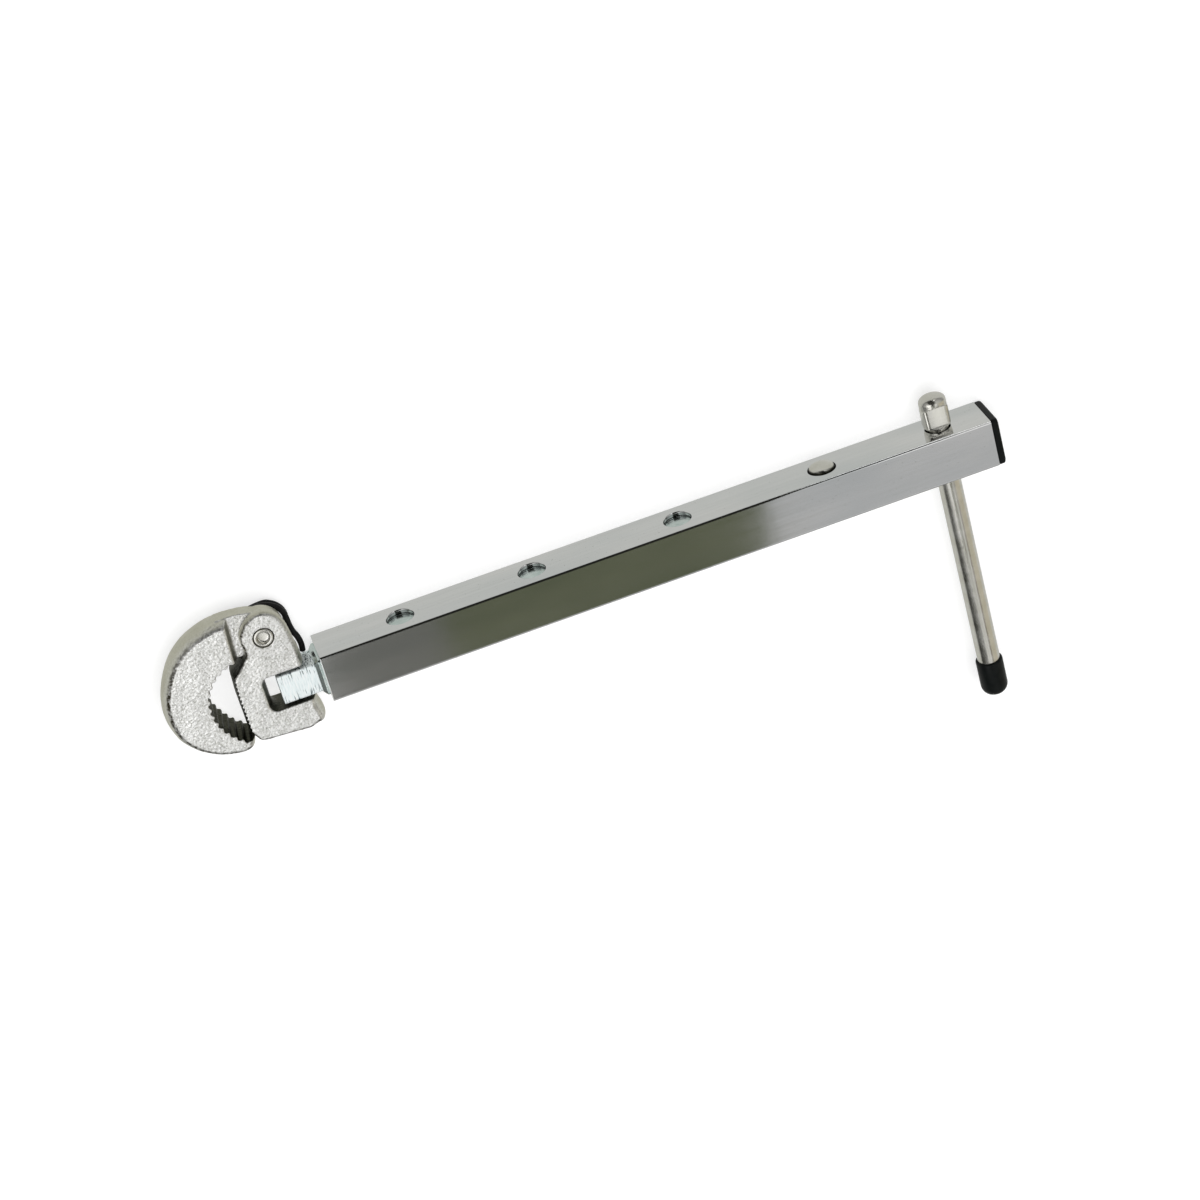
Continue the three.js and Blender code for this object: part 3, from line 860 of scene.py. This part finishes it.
def heel_painted_shade(x, y, z, nx, ny, nz):
    """Painted shade: dark in the slot, in the bite's teeth and on the wall beneath the ear."""
    near_slot = 1 - smooth_step(0.1, 0.5, np.abs(slot_field(x, y, z)))
    near_bite = 1 - smooth_step(0.15, 0.5, np.abs(heel_bite(x, y, z)))
    under_ear = smooth_step(8.5, 9.5, y) * (1 - smooth_step(15.5, 17, y)) * (x < -20.5)
    return np.max([near_slot, near_bite, under_ear], axis=0) * rim_weight(x, y, z, nx, ny, nz)


def build_hook():
    """The cast curved jaw, with its bite, the eye round the rivet and the boss beneath it."""
    hook = skin("hook", hook_field, grid_start((-51, -18.5, 7)), (-4.5, 30.5, 6.2), CAST_STEP)
    pebbled(hook, PEBBLE, PEBBLE_DEPTH)
    marked(hook, "rim", rim_weight)
    marked(hook, "edge", edge_weight(HOOK_BLANK, lambda x, y: HOOK_CROWN))
    # Paints shade into the bite's teeth and onto the step down to the eye.
    marked(hook, "bite", hook_painted_shade)
    place(hook, "hook_jaw")


def hook_painted_shade(x, y, z, nx, ny, nz):
    """Painted shade: dark in the bite's teeth and, less so, on the step down to the eye."""
    near_bite = 1 - smooth_step(0.15, 0.5, np.abs(hook_bite(x, y, z)))
    step = 0.6 * smooth_step(0.5, 0.8, nx) * smooth_step(14.5, 15.5, y) * (x < -21.5)
    return np.maximum(near_bite, step) * rim_weight(x, y, z, nx, ny, nz)


def build_rivet():
    """A rivet with a low head on the far side and a drilled end towards the camera."""
    low, high = tube_box("jaw_rivet")
    head, shank = 4.4, 3
    profile = [(0, low.z), (head - 0.3, low.z), (head - 0.05, low.z + 0.12),
               (head, low.z + 0.3), (head, low.z + 0.4), (shank, low.z + 0.4),
               (shank, high.z - 0.3), (shank - 0.08, high.z - 0.08),
               (2.75, high.z), (2.25, high.z), (2.1, high.z - 0.06), (2, high.z - 0.25),
               (1.9, high.z - 0.75), (1.65, high.z - 0.95), (1.25, high.z - 1.02),
               (0, high.z - 0.85)]
    rivet = turned("rivet", profile, (PIVOT.x, PIVOT.y, 0), (0, 0, 1), 64, 60)
    place(rivet, "jaw_rivet")


def spring_path():
    """Up the heel's edge, once round the hook's boss, then out to the hook's step."""
    near, far = -3.75, -5.5
    wide, tall, x, y = 7.05, 6.4, -12.3, 18.9
    steps, turns = 25, 1.2
    points = [(-3.65, 6.2, near), (-3.45, 8.6, near), (-3.85, 11.3, near), (-4.65, 13.5, near),
              (-5.05, 15.8, near)]
    for step in range(steps + 1):
        angle = step / steps * math.tau * turns
        z = near + (far - near) * float(smooth_step(0.1, 0.7, step / steps))
        points.append((x + wide * math.cos(angle), y + tall * math.sin(angle), z))
    points += [(-13.2, 24.9, far), (-16.5, 24.3, far), (-19.5, 22.8, far), (-22.6, 21.5, far)]
    return points


def build_spring():
    """The round wire, bent smoothly through its path in plan and in height."""
    per_span, wire = 5, 0.95
    flat = curve([p[:2] for p in spring_path()], per_span)
    depth = curve([(i, p[2]) for i, p in enumerate(spring_path())], per_span)
    path = [(x, y, z) for (x, y), (_, z) in zip(flat, depth)]
    spring = swept("wire_spring", path, wire)
    place(spring, "jaw_spring")


def dress_hidden():
    """The plain turned pieces keep their CAD shape, with softened edges and a real finish."""
    for name in ("rivet_washer", "tilt_pin", "shank_pin", "button_spring"):
        node = frame["nodes"][name]
        finish(node, MATERIALS[SLOT_OF[name]])
        bevel = node.modifiers.new("soft_edges", "BEVEL")
        bevel.width = 0.12 * MM
        bevel.segments = 2
        bevel.limit_method = "ANGLE"


for build in (build_tube, build_plug, build_slide_bar, build_tongue, build_button, build_tee,
              build_cap, build_heel, build_hook, build_rivet, build_spring):
    build()
dress_hidden()


# ---------------------------------------------------------------- stage

def add_camera():
    """Above the +Y side, turned so that the tube climbs to the right of the picture."""
    data = bpy.data.cameras.new("camera")
    data.lens = 102.27
    data.sensor_width = 36
    camera = bpy.data.objects.new("camera", data)
    right = Vector((0.93711, -0.23968, 0.25372))
    up = Vector((0.33207, 0.83608, -0.43670))
    back = Vector((-0.10746, 0.49349, 0.86309))
    turn = Matrix((right, up, back)).transposed().to_4x4()
    camera.matrix_world = Matrix.Translation(ORIGIN + Vector((-0.02528, 0.5090, 0.9077))) @ turn
    bpy.context.scene.collection.objects.link(camera)
    bpy.context.scene.camera = camera


def add_card(name, corners, color, strength):
    """A flat card that only reflections see: a soft box when bright, a flag when dark."""
    mesh = bpy.data.meshes.new(name)
    mesh.from_pydata(corners, [], [(0, 1, 2, 3)])
    piece = bpy.data.objects.new(name, mesh)
    material = bpy.data.materials.new(name)
    material.use_nodes = True
    tree = material.node_tree
    tree.nodes.clear()
    glow = tree.nodes.new("ShaderNodeEmission")
    glow.inputs["Color"].default_value = (*color, 1)
    glow.inputs["Strength"].default_value = strength
    out = tree.nodes.new("ShaderNodeOutputMaterial")
    tree.links.new(glow.outputs[0], out.inputs["Surface"])
    mesh.materials.append(material)
    bpy.context.scene.collection.objects.link(piece)
    piece.visible_camera = False
    piece.visible_diffuse = False
    piece.visible_shadow = False


CEILING = 0.6


def add_ceiling_card(name, x, y, color, strength):
    corners = [(x[0], y[0], CEILING), (x[1], y[0], CEILING), (x[1], y[1], CEILING),
               (x[0], y[1], CEILING)]
    add_card(name, corners, color, strength)


def add_cards():
    """What the metals mirror: dark flags for the tube's left part, soft boxes for its right."""
    black, brown, olive = (0.02, 0.02, 0.017), (0.16, 0.13, 0.09), (0.125, 0.135, 0.085)
    grey, white, beige = (0.165, 0.165, 0.15), (1, 1, 1), (0.62, 0.58, 0.48)
    add_ceiling_card("left_flag", (-0.108, -0.03), (-0.385, -0.2), grey, 1)
    add_ceiling_card("front_flag", (-0.03, 0.143), (-0.385, -0.2), olive, 1)
    add_ceiling_card("edge_flag", (-0.108, 0.143), (-0.2, 0.3), black, 1)
    add_ceiling_card("front_light", (0.143, 0.6), (-0.385, -0.28), white, 0.55)
    add_ceiling_card("tee_light", (0.19, 0.29), (-0.27, -0.04), white, 1.35)
    add_ceiling_card("jaw_light", (-0.6, -0.105), (-0.385, 0.12), white, 1.65)
    add_ceiling_card("rod_light", (-0.09, 0.3), (-0.6, -0.39), white, 0.9)
    add_ceiling_card("rod_line", (0.31, 0.45), (-0.62, -0.39), brown, 1)
    add_card("side_flag", [(-0.13, -0.4, CEILING), (-1, -0.62, CEILING),
                           (-1, -0.95, CEILING), (-0.13, -0.56, CEILING)], black, 1)
    add_card("low_flag", [(-1.6, -1.5, 0.02), (-1.6, -0.9, 0.02), (-1.6, -0.9, 1.0),
                          (-1.6, -1.5, 1.0)], black, 1)
    add_card("side_light", [(1.5, -1.9, 0), (1.5, -0.3, 0), (1.5, -0.3, 2.3), (1.5, -1.9, 2.3)],
             beige, 1)
    near, far = (1.2, 0.1), (0.25, 1.2)
    left, low_right, high_right = -0.5, 0.25, 0.36
    add_card("back_flag", [(left, *near), (low_right, *near), (high_right, *far), (left, *far)],
             black, 1)
    add_card("back_lamp", [(0.2, 0.85, 0.22), (0.34, 0.85, 0.22), (0.34, 0.8, 0.36),
                           (0.2, 0.8, 0.36)], white, 2.6)


def add_sheet(name, points, faces, material):
    mesh = bpy.data.meshes.new(name)
    mesh.from_pydata(points, [], faces)
    mesh.materials.append(material)
    sheet = bpy.data.objects.new(name, mesh)
    bpy.context.scene.collection.objects.link(sheet)
    return sheet


def glowing(name, color, strength, albedo=0.0):
    """A matt sheet that also gives off light of its own."""
    sheet = Finish(name, (albedo, albedo, albedo), 1, metallic=0, specular=0)
    sheet.shader.inputs["Emission Color"].default_value = (*color, 1)
    sheet.shader.inputs["Emission Strength"].default_value = strength
    return sheet.material


def square_sheet(side, z):
    return [(-side, -side, z), (side, -side, z), (side, side, z), (-side, side, z)]


def add_floor():
    """A white acrylic table, lit a little from beneath, so that shadows on it stay faint.

    The metals mirror a greyer sheet just under it, which keeps their shapes readable.
    """
    side = 4
    acrylic = glowing("floor_white", (1, 1, 1), 0.62, albedo=0.52)
    table = add_sheet("floor", square_sheet(side, 0), [(0, 1, 2, 3)], acrylic)
    table.visible_glossy = False
    grey = glowing("floor_grey", (0.655, 0.66, 0.635), 1)
    mirror = add_sheet("floor_mirror", square_sheet(side, -0.5 * MM), [(0, 1, 2, 3)], grey)
    mirror.visible_camera = False
    mirror.visible_diffuse = False
    mirror.visible_shadow = False


def add_backdrop():
    """A pale wall all round, far behind the table, that only the camera sees."""
    paper = glowing("backdrop_white", (0.93, 0.93, 0.93), 1)
    radius, height, sides = 3.9, 5, 48
    ring = [(radius * math.cos(a), radius * math.sin(a))
            for a in np.linspace(0, 2 * math.pi, sides, endpoint=False)]
    points = [(x, y, z) for z in (-0.1, height) for x, y in ring]
    faces = [(i, (i + 1) % sides, sides + (i + 1) % sides, sides + i) for i in range(sides)]
    wall = add_sheet("backdrop", points, faces, paper)
    wall.visible_diffuse = False
    wall.visible_glossy = False
    wall.visible_shadow = False


def add_overhead():
    """A large soft box straight above, which the metals don't mirror."""
    light = bpy.data.lights.new("overhead", "AREA")
    light.shape = "SQUARE"
    light.size = 1.2
    light.energy = 9
    overhead = bpy.data.objects.new("overhead", light)
    overhead.location = (-0.05, 0, 1.2)
    overhead.visible_glossy = False
    bpy.context.scene.collection.objects.link(overhead)


def add_world():
    """A soft studio that is dim at the horizon and bright overhead."""
    world = bpy.data.worlds.new("studio")
    world.use_nodes = True
    tree = world.node_tree
    where = tree.nodes.new("ShaderNodeTexCoord")
    height = tree.nodes.new("ShaderNodeSeparateXYZ")
    tree.links.new(where.outputs["Generated"], height.inputs["Vector"])
    ramp = tree.nodes.new("ShaderNodeValToRGB")
    tree.links.new(height.outputs["Z"], ramp.inputs["Fac"])
    levels = [(0, 0.2), (0.3, 0.34), (0.65, 0.56), (1, 0.66)]
    ramp.color_ramp.elements.new(0.3)
    ramp.color_ramp.elements.new(0.65)
    for element, (stop_at, level) in zip(ramp.color_ramp.elements, levels):
        element.position = stop_at
        element.color = (level, level, level * 0.99, 1)
    sky = tree.nodes["Background"]
    tree.links.new(ramp.outputs["Color"], sky.inputs["Color"])
    bpy.context.scene.world = world


add_camera()
add_floor()
add_backdrop()
add_world()
add_overhead()
add_cards()
bpy.context.scene.view_settings.view_transform = "Standard"
